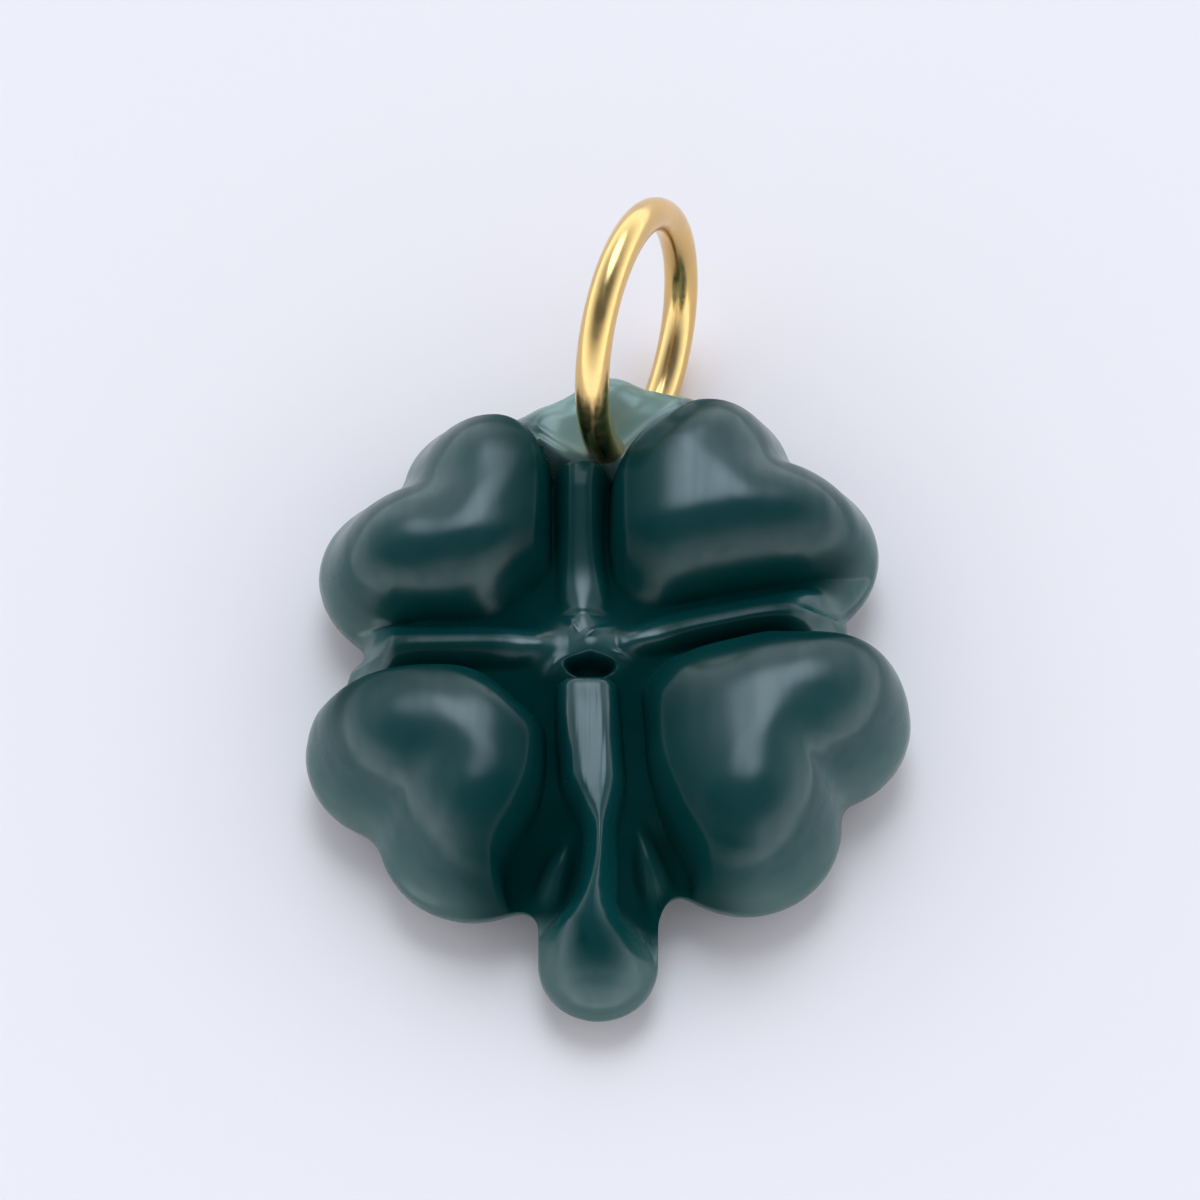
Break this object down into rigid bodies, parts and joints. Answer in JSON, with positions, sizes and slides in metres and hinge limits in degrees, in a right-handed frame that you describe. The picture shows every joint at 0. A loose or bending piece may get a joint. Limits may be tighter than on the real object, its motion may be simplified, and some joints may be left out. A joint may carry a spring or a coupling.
{
  "type": "four leaf clover pendant",
  "caption": "Carved, polished stone pendant in the shape of a four leaf clover with raised veins and a stem, hung from a round wire jump ring through its tab.",
  "frame": {"origin": "on the flat back, under the small star where the four leaves meet", "axes": "+Y from the stem to the tab and its ring, +Z out of the carved face, +X to the right as seen from the front"},
  "size_m": [0.0175, 0.0253, 0.0081],
  "materials": {
    "green_stone": "polished",
    "yellow_metal": "polished"
  },
  "bodies": {
    "root": {"clover": "green_stone", "jump_ring": "yellow_metal"}
  },
  "joints": []
}
